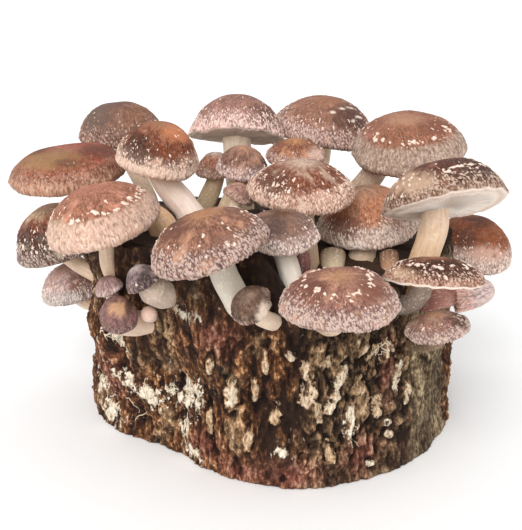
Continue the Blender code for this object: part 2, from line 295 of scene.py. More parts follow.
def blend(tree, share, first, second):
    """The first colour, with a share of the second laid over it."""
    first, second = (linear(*v) if isinstance(v, tuple) else v for v in (first, second))
    return add(tree, "ShaderNodeMix", {"data_type": "RGBA"}, i0=share, i6=first, i7=second).outputs[2]


def dimmed(colour, share):
    return tuple(v * share for v in colour)


def between(first, second, share):
    return tuple((1 - share) * v + share * w for v, w in zip(first, second))


def combine(tree, how, first, second, third=0):
    """Sum of a kind on values or on other nodes' outputs."""
    return add(tree, "ShaderNodeMath", {"operation": how}, i0=first, i1=second, i2=third).outputs[0]


def stored(tree, name, output="Fac"):
    """What was kept under a name at the piece's vertices."""
    return add(tree, "ShaderNodeAttribute", {"attribute_name": name}).outputs[output]


def mottle(tree, place, scale, detail=3, stretch=(1, 1, 1), sharp=0.55):
    """Noise texture read at a place, stretched along its axes."""
    moved = add(tree, "ShaderNodeMapping", i0=place, i3=stretch)
    made = add(
        tree, "ShaderNodeTexNoise",
        i0=moved.outputs[0], Scale=scale, Detail=detail, Roughness=sharp,
    )
    return made.outputs[0]


def bump(tree, shader, height, strength, depth):
    """Grain too fine for the mesh, of a depth in mm."""
    made = add(tree, "ShaderNodeBump", Strength=strength, Distance=depth * MM, Height=height)
    tree.links.new(made.outputs[0], shader.inputs["Normal"])


def bark_cut(tree, place):
    """The sawn end: a dark rim of bark and brown weathered wood with its rings."""
    out = stored(tree, "out")
    fine = mottle(tree, place, 160, 4)
    rings = combine(tree, "MULTIPLY_ADD", fine, 0.02, out)
    rings = combine(tree, "SINE", combine(tree, "MULTIPLY", rings, YEAR_RINGS), 0)
    wood = ramp(
        tree, out,
        (0, (60, 42, 31)), (0.55, (66, 47, 34)), (0.62, (80, 60, 44)),
        (0.91, (70, 50, 37)), (0.935, (32, 20, 14)), (1, (60, 41, 29)),
    )
    wood = blend(tree, ramp(tree, rings, (0, 0), (1, 0.28)), wood, (48, 33, 24))
    weathered = mottle(tree, place, 46, 4)
    return blend(tree, ramp(tree, weathered, (0.45, 0), (0.7, 0.7)), wood, (38, 28, 21))


def bark_material():
    """Brown, grey and red bark with torn cream faces, dark in its fissures and pale on its crests partly as
    painted shade and painted light, and darkened near the top with painted shade and dampness.
    """
    made, tree, shader = new_material("oak_bark", 0.88)
    place = add(tree, "ShaderNodeTexCoord").outputs["Object"]
    relief = stored(tree, "relief")
    fibre = mottle(tree, place, 640, 5, (1, 1, 0.45), 0.65)
    crumb = mottle(tree, place, 360, 6, (1, 1, 0.7), 0.68)
    cloud = mottle(tree, place, 42, 3, (1, 1, 0.6))
    damp = mottle(tree, place, 24, 3, (1.3, 1.3, 0.8))
    level = combine(tree, "MULTIPLY_ADD", crumb, 1.5, relief)
    level = combine(tree, "MULTIPLY_ADD", fibre, 1, level)
    level = combine(tree, "MULTIPLY_ADD", cloud, 0.5, level)
    level = combine(tree, "SUBTRACT", level, GRAIN_MIDDLE)
    # the colour follows the relief: darker in the fissures and paler on the crests, partly the bark's own
    # tones and partly painted shade and painted light
    brown = ramp(
        tree, level,
        (0.10, (24, 13, 8)), (0.34, (58, 33, 18)), (0.54, (102, 64, 38)),
        (0.70, (164, 116, 76)), (0.84, (216, 174, 132)), (0.98, (246, 222, 190)),
    )
    grey = ramp(
        tree, level,
        (0.10, (30, 22, 15)), (0.34, (86, 69, 50)), (0.52, (138, 118, 90)),
        (0.72, (188, 166, 134)), (0.92, (232, 214, 186)),
    )
    red = ramp(
        tree, level,
        (0.10, (40, 17, 12)), (0.36, (90, 50, 38)), (0.58, (140, 86, 70)),
        (0.82, (194, 146, 126)),
    )
    grey_side = stored(tree, "grey")
    greyness = blend(tree, grey_side, ramp(tree, cloud, (0.54, 0), (0.64, 0.45)), (255, 255, 255))
    colour = blend(tree, greyness, brown, grey)
    colour = blend(tree, stored(tree, "red"), colour, red)
    colour = blend(tree, ramp(tree, damp, (0.50, 0), (0.64, 0.6)), colour, (48, 31, 22))
    shred = mottle(tree, place, 300, 5, (1, 1, 0.6), 0.72)
    shred = combine(tree, "MULTIPLY_ADD", shred, 3, stored(tree, "pale"))
    torn = ramp(tree, combine(tree, "SUBTRACT", shred, 1.5), (0.48, 0), (0.66, 1))
    tan_face = ramp(
        tree, fibre,
        (0.34, (92, 64, 40)), (0.46, (170, 132, 92)), (0.62, (224, 196, 158)),
    )
    white_face = ramp(
        tree, fibre,
        (0.34, (150, 126, 96)), (0.46, (222, 206, 180)), (0.62, (252, 244, 228)),
    )
    face = blend(tree, stored(tree, "whiteness"), tan_face, white_face)
    colour = blend(tree, torn, colour, face)
    # near the top the bark is darkened almost to black: painted shade under the caps, together with dampness
    damp_and_shade_darkening = combine(tree, "MULTIPLY", stored(tree, "damp"), 0.72)
    colour = blend(tree, damp_and_shade_darkening, colour, (34, 22, 16))
    wood = bark_cut(tree, place)
    colour = blend(tree, stored(tree, "cut"), colour, wood)
    tree.links.new(colour, shader.inputs["Base Color"])
    bump(tree, shader, level, 0.8, 1.1)
    return made


def stand(name, data):
    """Puts a mesh, a lamp or the camera into the scene."""
    made = bpy.data.objects.new(name, data)
    bpy.context.scene.collection.objects.link(made)
    return made


def new_piece(name, mesh, finish, node):
    """Finished piece of the object, in place of its plain solid."""
    mesh.name = name
    mesh.materials.append(finish)
    mesh.shade_smooth()
    piece = stand(name, mesh)
    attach(piece, "root")
    if node:
        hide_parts(node)
    return piece


# the base, the bark and the saw cut, each from (share of the radius, share of the height) points;
# the base and the cut stand past the ends of the bark here, and are brought back to them below
base_radii = (0, 0.35, 0.7, 0.9, 0.97)
log_profile = [(radius, -0.1) for radius in base_radii]
log_profile += [(1, row / BARK_ROWS) for row in range(BARK_ROWS + 1)]
log_profile += [((1 - ring / CUT_RINGS) ** 0.8, 1.1) for ring in range(1, CUT_RINGS + 1)]
log_mesh, point, angle = turned(log_profile, BARK_COLUMNS)
profile_out, profile_up = np.array(log_profile).T
share = np.clip(profile_up[point], 0, 1)
on_cut = point > len(base_radii) + BARK_ROWS
height = share * LOG_TOP_HEIGHT
low = 1 - ease(share, 0, 0.22)
radius = bark_form(angle, share) * (1 - 0.5 * low) + 0.5 * low * foot_outline(angle, share)

# plates with a pale face stand out in a groove of their own; a knot lies near the foot
relief = bark_relief(angle, height)
torn_edge = 0.3 * grain(np.column_stack([angle * 40, height, 0 * angle]), 3.2, 5)
torn_edge += 0.2 * grain(np.column_stack([angle * 80, height, 0 * angle]), 1.6, 8)
on_plate = spots(CREAM_PLATES, angle, height)
plate = ease(on_plate + 0.7 * torn_edge, 0.3, 0.75)
unrolled = np.column_stack([angle * LOG_HALF_WIDTH, height, 0 * angle])
worn = ease(grain(unrolled, (2.6, 7, 1), 2), -0.35, 0.25)
groove = ease(on_plate, 0.12, 0.3) * (1 - plate)
relief = relief * (1 - 0.2 * plate) + CREAM_RISE * plate - CREAM_GROOVE * groove
whiteness = np.full(len(angle), 1)
for row in CREAM_PLATES:
    whiteness = np.where(spots((row,), angle, height) > 0.1, row[5], whiteness)
beside_knot = apart(angle, KNOT_ANGLE) * LOG_HALF_WIDTH
knot = np.hypot(beside_knot / KNOT_HALF_WIDTH, (height - KNOT_HEIGHT) / KNOT_HALF_HEIGHT)
relief += KNOT_RIM_RISE * np.exp(-(((knot - 1) / 0.22) ** 2))
relief -= KNOT_HOLLOW * np.exp(-(((knot - 0.6) / 0.2) ** 2))
rim_fade = 1 - 0.55 * ease(share, 0.93, 1) - 0.35 * (1 - ease(share, 0, 0.04))
radius += relief * rim_fade

# the saw cut, ragged at its rim, with year rings and splits that run out from the middle
out = profile_out[point]
x, y = radius * out * np.cos(angle), radius * out * np.sin(angle)
flat_place = np.column_stack([x, y, 0 * x])
height = share * cut_height(x, y)
ragged = RAGGED_RIM * grain(flat_place, 9, 1) + RIM_SPLINTERS * grain(flat_place, 3.2, 6)
in_bark = ease(out * radius, radius - BARK_THICKNESS - 1.5, radius - BARK_THICKNESS + 0.5)
spokes = np.column_stack([np.cos(angle) * SPLITS, np.sin(angle) * SPLITS, out * 0.8])
split = np.maximum(0, SPLIT_WIDTH - np.abs(grain(spokes, 1, 4))) / SPLIT_WIDTH * ease(out, 0.1, 0.45)
cut_relief = RING_RISE * np.sin(out * YEAR_RINGS) + CUT_WAVE * grain(flat_place, 6, 2)
cut_relief = cut_relief - SPLIT_DEPTH * split * (1 - in_bark)
cut_lift = ragged * in_bark + cut_relief * (1 - in_bark)
height += np.where(on_cut, cut_lift, ragged * ease(share, 0.93, 1))
height = np.where(share > 0, np.maximum(height, 0.4), 0)
put(log_mesh, np.column_stack([x, y, height]) * MM)

smooth_side = around_here(angle, *SMOOTH_SIDE)
flaked = spots(PALE_PATCHES, angle, height) * (0.55 + 0.45 * ease(relief, -1.4, 0.2))
# painted shade and dampness: the bark darkens from 72 mm up towards the rim, where the caps shade it
damp = ease(height + 5 * grain(flat_place, 14, 3), 72, 112)
keep(
    log_mesh,
    relief=np.where(on_cut, 0.5, np.clip(0.52 + relief / 7.5, 0, 1)),
    pale=np.maximum(flaked, plate * (0.5 + 0.42 * worn)),
    whiteness=whiteness,
    red=spots(RED_PATCHES, angle, height),
    grey=np.maximum(smooth_side, 0.5 * around_here(angle, *GREY_SIDE)),
    damp=damp * (1 - 0.6 * smooth_side),
    cut=np.where(on_cut, 1, 0),
    out=out,
)
new_piece("oak_log", log_mesh, bark_material(), "log")


# The stems. Each is one mushroom's stalk of tough pale flesh, a solid fibrous rod that swells
# towards its foot, grows out of the wood through the bark or the saw cut, and bends upright.
GILL_LEVEL = -0.04
STEM_BEND, STEM_WRINKLE = 0.32, 0.05
# a stem starts inside the gills and goes on past its foot, down into the wood
STEM_START, STEM_SPAN, STEM_PAST_FOOT = -0.1, 1.25, 0.15
STEM_INTO_GILLS, STEM_SINK, SINK_SLOPE = 20, 5, 0.2
STEM_RINGS, STEM_SIDES = 56, 44
# a mushroom: the middle of its rim, the cap's radius and height, how far it leans right and nods
# forwards in degrees, where its stem leaves the wood, the stem's radii under the cap, half way and
# at the foot, whether it grows up from the cut or out of the bark, and how far off the middle of
# the gills it meets them
MUSHROOM_PARTS = "centre radius height lean nod foot stem_radii grows offset"
Mushroom = namedtuple("Mushroom", MUSHROOM_PARTS, defaults=("up", 0))
MUSHROOMS = {
    "back_left": Mushroom((-94, 60, 160), 25.2, 19.5, -3, 5, (-74, 44, 113), (5.5, 5, 6)),
    "upper_left": Mushroom((-62.5, -15, 157.5), 24, 21, 7, 10, (-42, -22, 119), (6, 7.7, 9.5)),
    "far_left": Mushroom((-117, 2, 146), 35, 15, -6, 2, (-56, -46, 120), (7, 7.2, 8), "up", 10),
    "left": Mushroom((-86, -71, 134), 31, 20.5, -14, 2, (-80, -66, 105), (4.5, 4.2, 5), "out"),
    "outer_left": Mushroom((-130.5, 30, 95.5), 26, 25, -16, 12, (-101, 22, 76), (5, 5, 5.5), "out"),
    "front_left": Mushroom((-28.5, -114.2, 134.7), 29.5, 16.5, -15, 2, (-14, -100, 101), (6, 7, 8), "out", 4),
    "low_left": Mushroom((-126, 44, 61), 20, 17, -10, 10, (-98, 34, 49), (4.5, 4.5, 5), "out"),
    "button_front": Mushroom((-8.7, -124, 108), 10, 9, -22, 35, (2, -101, 92), (4, 4.5, 5), "out"),
    "button_upper": Mushroom((-63, -97, 112), 9, 8.5, -29, 15, (-50, -84, 100), (4.2, 7.6, 6), "out"),
    "button_left": Mushroom((-77, -91, 91), 10.4, 11, 12, 38, (-66, -74, 81), (6.5, 7, 6.5), "out"),
    "button_behind": Mushroom((-83, -80, 102), 7.4, 7, -15, 7, (-79, -61, 92), (3.4, 3.4, 4), "out"),
    "back_middle": Mushroom((-19, 52, 159.5), 29, 25.5, 3, -19, (-17, 52, 112), (9, 8, 8.5)),
    "inner_left": Mushroom((-31, 22, 143), 12, 12, 1, 4, (-40, 8, 116), (5, 5.5, 6)),
    "inner_middle": Mushroom((-15, 2, 148), 14.5, 14.5, 6, 9, (-27, -6, 117), (4.8, 4.8, 5.5)),
    "inner_low": Mushroom((-17, -24, 138), 9.5, 8, 25, -2, (-20, -32, 120), (3.6, 3.6, 4)),
    "top_small": Mushroom((16, 4, 156), 18, 10, -1, 7, (16, 6, 117), (4, 4, 4.5)),
    "middle": Mushroom((18, -50, 147), 27.5, 17, 2, 7, (21, -50, 107), (6, 6, 7)),
    "back_right": Mushroom((37, 72, 162), 32, 18.5, 6, 11, (31, 56, 112), (6.5, 6.5, 7)),
    "upper_right": Mushroom((84, 18, 157.5), 34.5, 20, -5, 9, (45, 11, 116), (7, 7, 7.5), "up", 19),
    "right": Mushroom((91.5, -68, 143.8), 33.3, 22.3, -8, -25.5, (80, -68, 104), (7.5, 7.5, 8.5), "up", 7),
    "middle_right": Mushroom(
        (57, -24, 121), 28.3, 23.5, -8.5, 6, (52.5, -38.5, 104.2), (7, 7.3, 8.4), "up", 9.5
    ),
    "far_right": Mushroom((130.5, 42, 89), 26.5, 20, 8, 14, (98, 30, 78), (5, 5, 5.5), "out"),
    "middle_low": Mushroom((5.8, -86, 132.8), 18.7, 12, -1, 13, (12, -93, 106), (5.5, 5.6, 6)),
    "front_right": Mushroom((32, -138, 115), 27.3, 13, -5, 6, (28, -99, 90), (5.5, 5.5, 6), "out", 4),
    "lower_right": Mushroom((81, -104, 115), 24.5, 10.5, 1, -11, (69, -84, 94.5), (5, 5.3, 5.4), "out", 8),
    "outer_right": Mushroom((102.6, -58, 91), 10.3, 20.5, 80, 2, (85, -66, 91), (5.2, 5.5, 6), "out"),
    "low_right": Mushroom((86, -96, 86), 16, 8, -12, 0, (76, -70, 68), (4, 4, 4.5), "out"),
}
CREAM, PALE_TAN = (232, 208, 184), (216, 184, 154)
STEM_TONES = {  # below the cap, at the foot
    "far_left": ((232, 204, 178), (226, 182, 142)), "upper_left": ((250, 226, 208), (252, 230, 216)),
    # front_left's greyer tone below the cap is painted shade under it
    "front_left": ((188, 180, 164), (226, 214, 198)), "right": ((232, 206, 180), (226, 182, 138)),
    "upper_right": ((188, 162, 140), (176, 146, 122)), "back_middle": ((248, 228, 206), (240, 214, 184)),
    "middle_low": ((226, 214, 200), (248, 238, 224)), "button_upper": ((180, 158, 142), (200, 178, 160)),
    "button_left": (CREAM, (244, 214, 192)), "inner_middle": (PALE_TAN, (190, 168, 130)),
    "inner_left": (PALE_TAN, (196, 176, 140)), "outer_right": ((206, 158, 142), (150, 92, 80)),
    # lower_right's grey tones are painted shade, its stem lying in the shadow of its cap
    "button_front": (CREAM, CREAM), "lower_right": ((150, 130, 118), (122, 108, 98)),
    "low_right": ((150, 122, 98), (110, 88, 66)),
}


def growth_axis(lean, nod):
    """The way that a mushroom points, from how far it leans right and nods forwards."""
    return Vector((math.tan(math.radians(lean)), -math.tan(math.radians(nod)), 1)).normalized()


def stem_route(mushroom):
    """Places, radii and directions along a stem, from inside its gills down into the wood."""
    axis = growth_axis(mushroom.lean, mushroom.nod)
    head = Vector(mushroom.centre) + axis * (mushroom.radius * GILL_LEVEL)
    foot = Vector(mushroom.foot)
    aside = foot - head
    head += (aside - axis * aside.dot(axis)).normalized() * mushroom.offset
    down = Vector((0, 0, -1))
    if mushroom.grows == "out":
        down = Vector((-foot.x, -foot.y, -SINK_SLOPE * foot.xy.length)).normalized()
    reach = (head - foot).length * STEM_BEND
    first, second = head - axis * reach, foot - down * reach
    under_cap, half_way, at_foot = mushroom.stem_radii
    route = []
    for ring in range(STEM_RINGS + 1):
        share = STEM_START + STEM_SPAN * ring / STEM_RINGS
        bent = min(max(share, 0), 1)
        left = 1 - bent
        place = left**3 * head + 3 * left**2 * bent * first
        place += 3 * left * bent**2 * second + bent**3 * foot
        along = left**2 * (first - head) + 2 * left * bent * (second - first)
        along = (along + bent**2 * (foot - second)).normalized()
        past_end = STEM_INTO_GILLS if share < 0 else STEM_SINK / STEM_PAST_FOOT
        place = place + along * (share - bent) * past_end
        thick = np.interp(bent, (0, 0.36, 0.7, 1), (under_cap, half_way, half_way, at_foot))
        route.append((place, float(thick), along))
    return route


def swept(route, segments, wrinkle, seed):
    """A rod along a route, with lengthwise fibres raised on it by the given amount."""
    rings = len(route)
    profile = [(0, 0)]
    profile += [(1, ring / rings) for ring in range(rings)]
    profile += [(0, (rings - 1) / rings)]
    mesh, point, angle = turned(profile, segments)
    ring = np.clip(point - 1, 0, rings - 1)
    closed_end = (point == 0) | (point == rings + 1)
    sides, acrosses, side = [], [], route[0][2].orthogonal()
    for _, _, along in route:
        side = (side - along * side.dot(along)).normalized()
        sides.append(side)
        acrosses.append(along.cross(side))
    centre = np.array([place for place, _, _ in route])
    thick = np.array([radius for _, radius, _ in route])
    walked = np.r_[0, np.cumsum(np.linalg.norm(np.diff(centre, axis=0), axis=1))]
    spoke = np.array(sides)[ring] * np.cos(angle)[:, None]
    spoke += np.array(acrosses)[ring] * np.sin(angle)[:, None]
    local = np.column_stack([np.cos(angle) * 5, np.sin(angle) * 5, walked[ring]]) + seed
    swell = 1 + wrinkle * (grain(local, (1.5, 1.5, 14)) + 1.3 * grain(local, (3.6, 3.6, 9), 3))
    swell = np.where(closed_end, 0, swell)
    put(mesh, (centre[ring] + spoke * (thick[ring] * swell)[:, None]) * MM)
    keep(mesh, along=walked[ring] / walked[-1], strand=local)
    return mesh


def stem_material(name, upper, lower):
    """Pale flesh that changes its tone along the stem, with fine fibres and white wool."""
    made, tree, shader = new_material(name, 0.7)
    strand = stored(tree, "strand", "Vector")
    along = stored(tree, "along")
    fibre = mottle(tree, strand, 1.3, 4, (1, 1, 0.09), 0.6)
    blotch = mottle(tree, strand, 0.22, 3, (1, 1, 0.6))
    wool = mottle(tree, strand, 0.9, 4, (1, 1, 0.8), 0.7)
    colour = ramp(tree, along, (0.15, upper), (0.85, lower))
    colour = blend(tree, ramp(tree, fibre, (0.45, 0), (0.72, 0.45)), colour, dimmed(lower, 0.8))
    colour = blend(tree, ramp(tree, blotch, (0.52, 0), (0.75, 0.5)), colour, dimmed(lower, 0.86))
    colour = blend(tree, ramp(tree, wool, (0.56, 0), (0.62, 0.45)), colour, (240, 230, 214))
    tree.links.new(colour, shader.inputs["Base Color"])
    bump(tree, shader, blend(tree, 0.5, fibre, wool), 0.5, 0.5)
    return made


for number, (where, mushroom) in enumerate(MUSHROOMS.items()):
    upper, lower = STEM_TONES.get(where, (CREAM, PALE_TAN))
    flesh = stem_material("stem_flesh_" + where, upper, lower)
    stem = swept(stem_route(mushroom), STEM_SIDES, STEM_WRINKLE, number * 7)
    new_piece(where + "_stem", stem, flesh, "stem_" + where)


# The caps. Fleshy domes with a matt brown skin that is smooth on top and cracks into cream
# woolly scales towards the inrolled margin. Pale gills stand close together under each of them.
# half outlines in shares of the cap's radius, with heights in cap heights, rolls and radii
CAP_PROFILE = ((0, 1), (0.42, 0.90), (0.73, 0.62), (0.93, 0.27), (1, 0))
MARGIN_PROFILE = ((0.985, -0.58), (0.94, -1), (0.89, -0.86), (0.85, -0.46))
GILL_PROFILE = ((0.82, GILL_LEVEL), (0.6, -0.045), (0.3, -0.06), (0, -0.06))
# how far a rim strays from a level circle, in shares of its radius, and its ripple in mm
OVAL, THREE_CORNERED, RIM_WAVE = 0.035, 0.02, 0.03
RIM_RIPPLE = 1.1
# how far a margin rolls in under the cap, in shares of its radius
ROLL, THIN_MARGINS = 0.13, {"right": 0.04, "back_middle": 0.04, "lower_right": 0.07}
# how full the shoulder of a dome is, in parts of FULLER; below 0 the dome is flatter there
FULLER = 0.65
FULLNESS = {
    "back_left": 0.2, "upper_left": 0.3, "far_left": 0.8, "left": 0.4, "outer_left": 0.3,
    "low_left": 0.3, "front_left": 0.3, "button_front": 0.3, "back_middle": 0.3,
    "top_small": -0.4, "middle": -0.3, "back_right": 0.1, "upper_right": 0.5, "right": 0.4,
    "middle_right": -0.3, "far_right": 0.2, "front_right": 0.3, "lower_right": 0.5,
    "outer_right": 0.4,
}
GILL_COUNT, GILL_DEPTH = 84, 0.9
# how fine a cap is, by its least radius: faces around, and rows from its top to its rim
CAP_GRIDS = ((18, (336, 64)), (10, (224, 46)), (0, (150, 34)))
UNDER_ROWS = 26
# size of a scale, twice across the dome and once down it
SHOULDER_SCALE, MARGIN_SCALE = (2.3, 2.3, 5.2), (1.2, 1.2, 2.6)
SCALE_RISE, FOLD_RISE, STREAK_RISE, LUMP_SHARE = 0.6, 0.5, 0.2, 0.018
# the share of the way from the top over the rim where the skin ends and the gills begin
SKIN_ENDS, THIN_SKIN_ENDS, GILLS_BEGIN, SHARE_SPAN = (1.10, 1.16), (1.01, 1.03), (1.16, 1.24), 1.25
CREAM_FLECK, WHITE_FLECK = (244, 220, 202), (246, 228, 210)
# colours of the middle, of the shoulder and between the scales of the margin; how thick the
# separate scales and the network of the margin lie; patches of another colour, seen from the
# front: how far right and up of the middle of the cap, half width and half height in mm, colour;
# and, where they are there, how far down the dome a ring of big torn scales lies and the streaked
# pale band of the margin begins
# where the colour of a cap's middle is paler than its shoulder, the paleness is partly painted light on the
# top of the dome
Skin = namedtuple("Skin", "apex middle edge flecks net patches ring band", defaults=((), 0, 0))
SKINS = {
    "back_left": Skin(
        (117, 79, 71), (158, 111, 86), (123, 84, 69), 0.25, 0.9, ((-12, 8, 12, 10, (98, 80, 72)),)
    ),
    "upper_left": Skin(
        (184, 122, 86), (135, 67, 37), (248, 213, 191), 0.6, 1.1,
        ((-9, 2, 9, 12, (52, 26, 12)), (13, 14, 8, 6, (206, 130, 88))), band=0.86
    ),
    "far_left": Skin(
        (180, 105, 81), (166, 80, 54), (174, 123, 94), 0.05, 0.3,
        ((-8, 6, 20, 7, (152, 118, 76)), (18, 12, 9, 5, (100, 56, 44)), (-18, 14, 7, 4, (104, 60, 46)),
        (4, 3, 6, 3, (104, 66, 48))), band=0.9
    ),
    "left": Skin(
        (206, 129, 101), (181, 119, 91), (212, 172, 150), 0.35, 1,
        ((-24, -4, 14, 5, (166, 148, 116)),), ring=0.66, band=0.68
    ),
    "outer_left": Skin(
        (238, 216, 176), (163, 73, 46), (94, 78, 78), 1.3, 1.1,
        ((-2, 24, 15, 8, (134, 82, 56)), (-12, 0, 18, 10, (36, 26, 24)))
    ),
    "front_left": Skin(
        (206, 145, 99), (160, 108, 86), (112, 80, 79), 0.85, 1.3,
        ((-18, 9, 9, 7, (100, 58, 44)), (10, 2, 8, 4, (124, 84, 68)))
    ),
    "low_left": Skin(
        (141, 79, 62), (234, 201, 192), (195, 191, 189), 0.8, 1.2, ((8, 4, 7, 8, (116, 70, 54)),)
    ),
    "button_front": Skin(
        (130, 107, 89), (115, 85, 67), (76, 50, 40), 0, 0.1, ((6, -3, 3, 5, (240, 220, 200)),)
    ),
    "button_upper": Skin(
        (213, 195, 188), (133, 107, 108), (84, 57, 63), 0.25, 0.3, ((2, 1, 4.2, 5, (34, 24, 24)),)
    ),
    "button_left": Skin(
        (68, 35, 28), (151, 108, 104), (122, 88, 86), 0, 0.1,
        ((1, 4, 5, 4, (206, 160, 122)), (6, 5, 1.6, 4.4, (52, 34, 30)))
    ),
    "button_behind": Skin((150, 112, 104), (190, 152, 146), (224, 196, 190), 0, 0.1),
    "back_middle": Skin(
        (149, 97, 81), (168, 120, 105), (240, 196, 190), 0.5, 1.3, ((17, 8, 9, 8, (98, 66, 56)),)
    ),
    "inner_left": Skin((215, 201, 185), (181, 120, 93), (200, 154, 132), 0.5, 1.1),
    "inner_middle": Skin((204, 150, 119), (143, 102, 84), (208, 178, 177), 0.7, 1.2),
    "inner_low": Skin((193, 144, 123), (189, 142, 126), (214, 168, 148), 0.3, 0.6),
    "top_small": Skin(
        (215, 149, 94), (156, 97, 71), (186, 148, 140), 0.25, 0.7, ((12, 0, 5, 4, (216, 178, 162)),)
    ),
    "middle": Skin(
        (233, 199, 176), (146, 79, 50), (205, 154, 132), 1.3, 1.2,
        ((-16, 3, 9, 7, (90, 54, 40)), (13, -5, 9, 3, (190, 150, 132)))
    ),
    "back_right": Skin(
        (169, 110, 77), (166, 116, 94), (164, 124, 118), 0.9, 1.3,
        ((17, 4, 13, 10, (70, 42, 34)), (4, 6, 1.7, 0.9, WHITE_FLECK), (10, 9, 2.2, 0.8, WHITE_FLECK),
        (15.5, 10.4, 2.6, 0.8, WHITE_FLECK), (21, 4, 2.2, 0.9, WHITE_FLECK),
        (17, 1, 1, 1.1, WHITE_FLECK))
    ),
    "upper_right": Skin(
        (149, 92, 77), (170, 110, 81), (166, 139, 121), 0.4, 0.9,
        ((-4, 16, 10, 5, (186, 138, 106)), (12, 10, 9, 5, (120, 70, 52))), ring=0.62, band=0.68
    ),
    "right": Skin(
        (122, 63, 44), (107, 52, 34), (118, 82, 59), 0.6, 1.2,
        ((-21, 10, 10, 6, (200, 166, 138)), (12, 14, 17, 8, (52, 25, 14))), ring=0.66, band=0.9
    ),
    "middle_right": Skin(
        (152, 118, 92), (211, 140, 103), (250, 233, 221), 0.4, 1.1, ((-16, -2, 9, 7, (112, 64, 48)),)
    ),
    "far_right": Skin(
        (76, 28, 13), (160, 85, 42), (243, 220, 208), 0.3, 1,
        ((3, -4, 15, 5, (206, 166, 148)), (-8, 6, 9, 7, (88, 50, 36)))
    ),
    "middle_low": Skin(
        (106, 62, 30), (150, 116, 103), (215, 194, 189), 0.7, 1.35, ((-4, 4, 8, 5, (84, 62, 56)),)
    ),
    "front_right": Skin(
        (206, 151, 112), (166, 112, 96), (135, 106, 103), 0.45, 1.35,
        ((-13, 6, 6, 5, (106, 60, 46)), (12, 5, 6, 4, (124, 76, 60))), ring=0.5
    ),
    "lower_right": Skin(
        (212, 143, 105), (84, 32, 17), (149, 98, 75), 0.8, 1.1,
        ((-18, 1, 7, 4, (196, 164, 132)), (3, 5, 15, 5, (60, 28, 12))), ring=0.6, band=0.88
    ),
    "outer_right": Skin((232, 203, 198), (221, 193, 188), (238, 176, 161), 0.4, 0.9),
    "low_right": Skin(
        (250, 193, 155), (191, 142, 128), (140, 113, 110), 0.6, 1.3, ((10, 5, 6, 4, (58, 34, 28)),)
    ),
}


def smooth_curve(knots, count):
    """Evenly spaced points along a smooth curve through the knots, level where it starts."""
    knots = np.array(knots, float)
    chord = np.r_[0, np.cumsum(np.linalg.norm(np.diff(knots, axis=0), axis=1))]
    slopes = np.gradient(knots, chord, axis=0)
    slopes[0] = (1, 0)
    fine = np.linspace(0, chord[-1], 400)
    part = np.clip(np.searchsorted(chord, fine, side="right") - 1, 0, len(knots) - 2)
    span = chord[part + 1] - chord[part]
    t = ((fine - chord[part]) / span)[:, None]
    span = span[:, None]
    curve = (2 * t**3 - 3 * t**2 + 1) * knots[part] + (t**3 - 2 * t**2 + t) * span * slopes[part]
    curve += (3 * t**2 - 2 * t**3) * knots[part + 1] + (t**3 - t**2) * span * slopes[part + 1]
    walked = np.r_[0, np.cumsum(np.linalg.norm(np.diff(curve, axis=0), axis=1))]
    even = np.linspace(0, walked[-1], count)
    return np.column_stack([np.interp(even, walked, curve[:, 0]), np.interp(even, walked, curve[:, 1])])


def big_scales(arc, turn, rim, top_length, ring, draw):
    """How much of a big torn scale lies at each place of a cap's skin, 0 to 1."""
    value = np.zeros(len(arc))
    for _ in range(int(rim * 1.5)):
        middle = (ring + draw.gauss(0, 0.03)) * top_length
        half_length, half_width = draw.uniform(0.7, 1.4), draw.uniform(1, 3)
        bearing, slant = draw.uniform(-math.pi, math.pi), draw.gauss(0, 0.3)
        along = arc - middle
        across = apart(turn, bearing) * rim * 0.85
        along, across = along + slant * across, across - slant * along
        value = np.maximum(value, 1.6 - 1.6 * np.hypot(along / half_length, across / half_width))
    return np.clip(value, 0, 1)


def scales_on(polar, share, rim, skin, seed):
    """The cracked skin: separate pale scales on the shoulder, a fine network near the margin."""
    torn = np.stack([grain(polar, 1.1, seed + shift) for shift in (0, 20, 40)], 1)
    patchy = grain(polar, rim * 0.35, seed + 60)
    drawn = share + 0.18 * patchy
    nearest, second = cells(polar + 0.8 * torn, SHOULDER_SCALE, seed)
    gap = 0.62 - 0.24 * skin.flecks * ease(drawn, 0.3, 0.75)
    sparse = ease(second - nearest, gap, gap + 0.22)
    sparse = sparse * ease(drawn, 0.22, 0.36) * (1 - ease(drawn, 0.78, 1))
    nearest, second = cells(polar + 0.5 * torn, MARGIN_SCALE, seed + 30)
    gap = 0.6 - 0.36 * skin.net * ease(drawn, 0.5, 0.98)
    network = ease(second - nearest, gap, gap + 0.22) * ease(drawn, 0.4, 0.7)
    return sparse * min(1, 3 * skin.flecks), network * min(1, 2 * skin.net)


def cap_outline(where, mushroom, rows):
    """Points of a cap's half outline, from its top over the rim and under it to the stem."""
    radius, height = mushroom.radius, mushroom.height
    lift = FULLER * FULLNESS.get(where, 0)
    knots = [(radius * r, height * (z + lift * r * r * (1 - r * r))) for r, z in CAP_PROFILE]
    roll = radius * THIN_MARGINS.get(where, ROLL)
    edge = [(radius * r, roll * z) for r, z in MARGIN_PROFILE]
    edge += [(radius * r, radius * z) for r, z in GILL_PROFILE]
    profile = np.vstack([smooth_curve(knots, rows), smooth_curve([knots[-1]] + edge, UNDER_ROWS)[1:]])
    profile[0, 0] = profile[-1, 0] = 0
    return profile


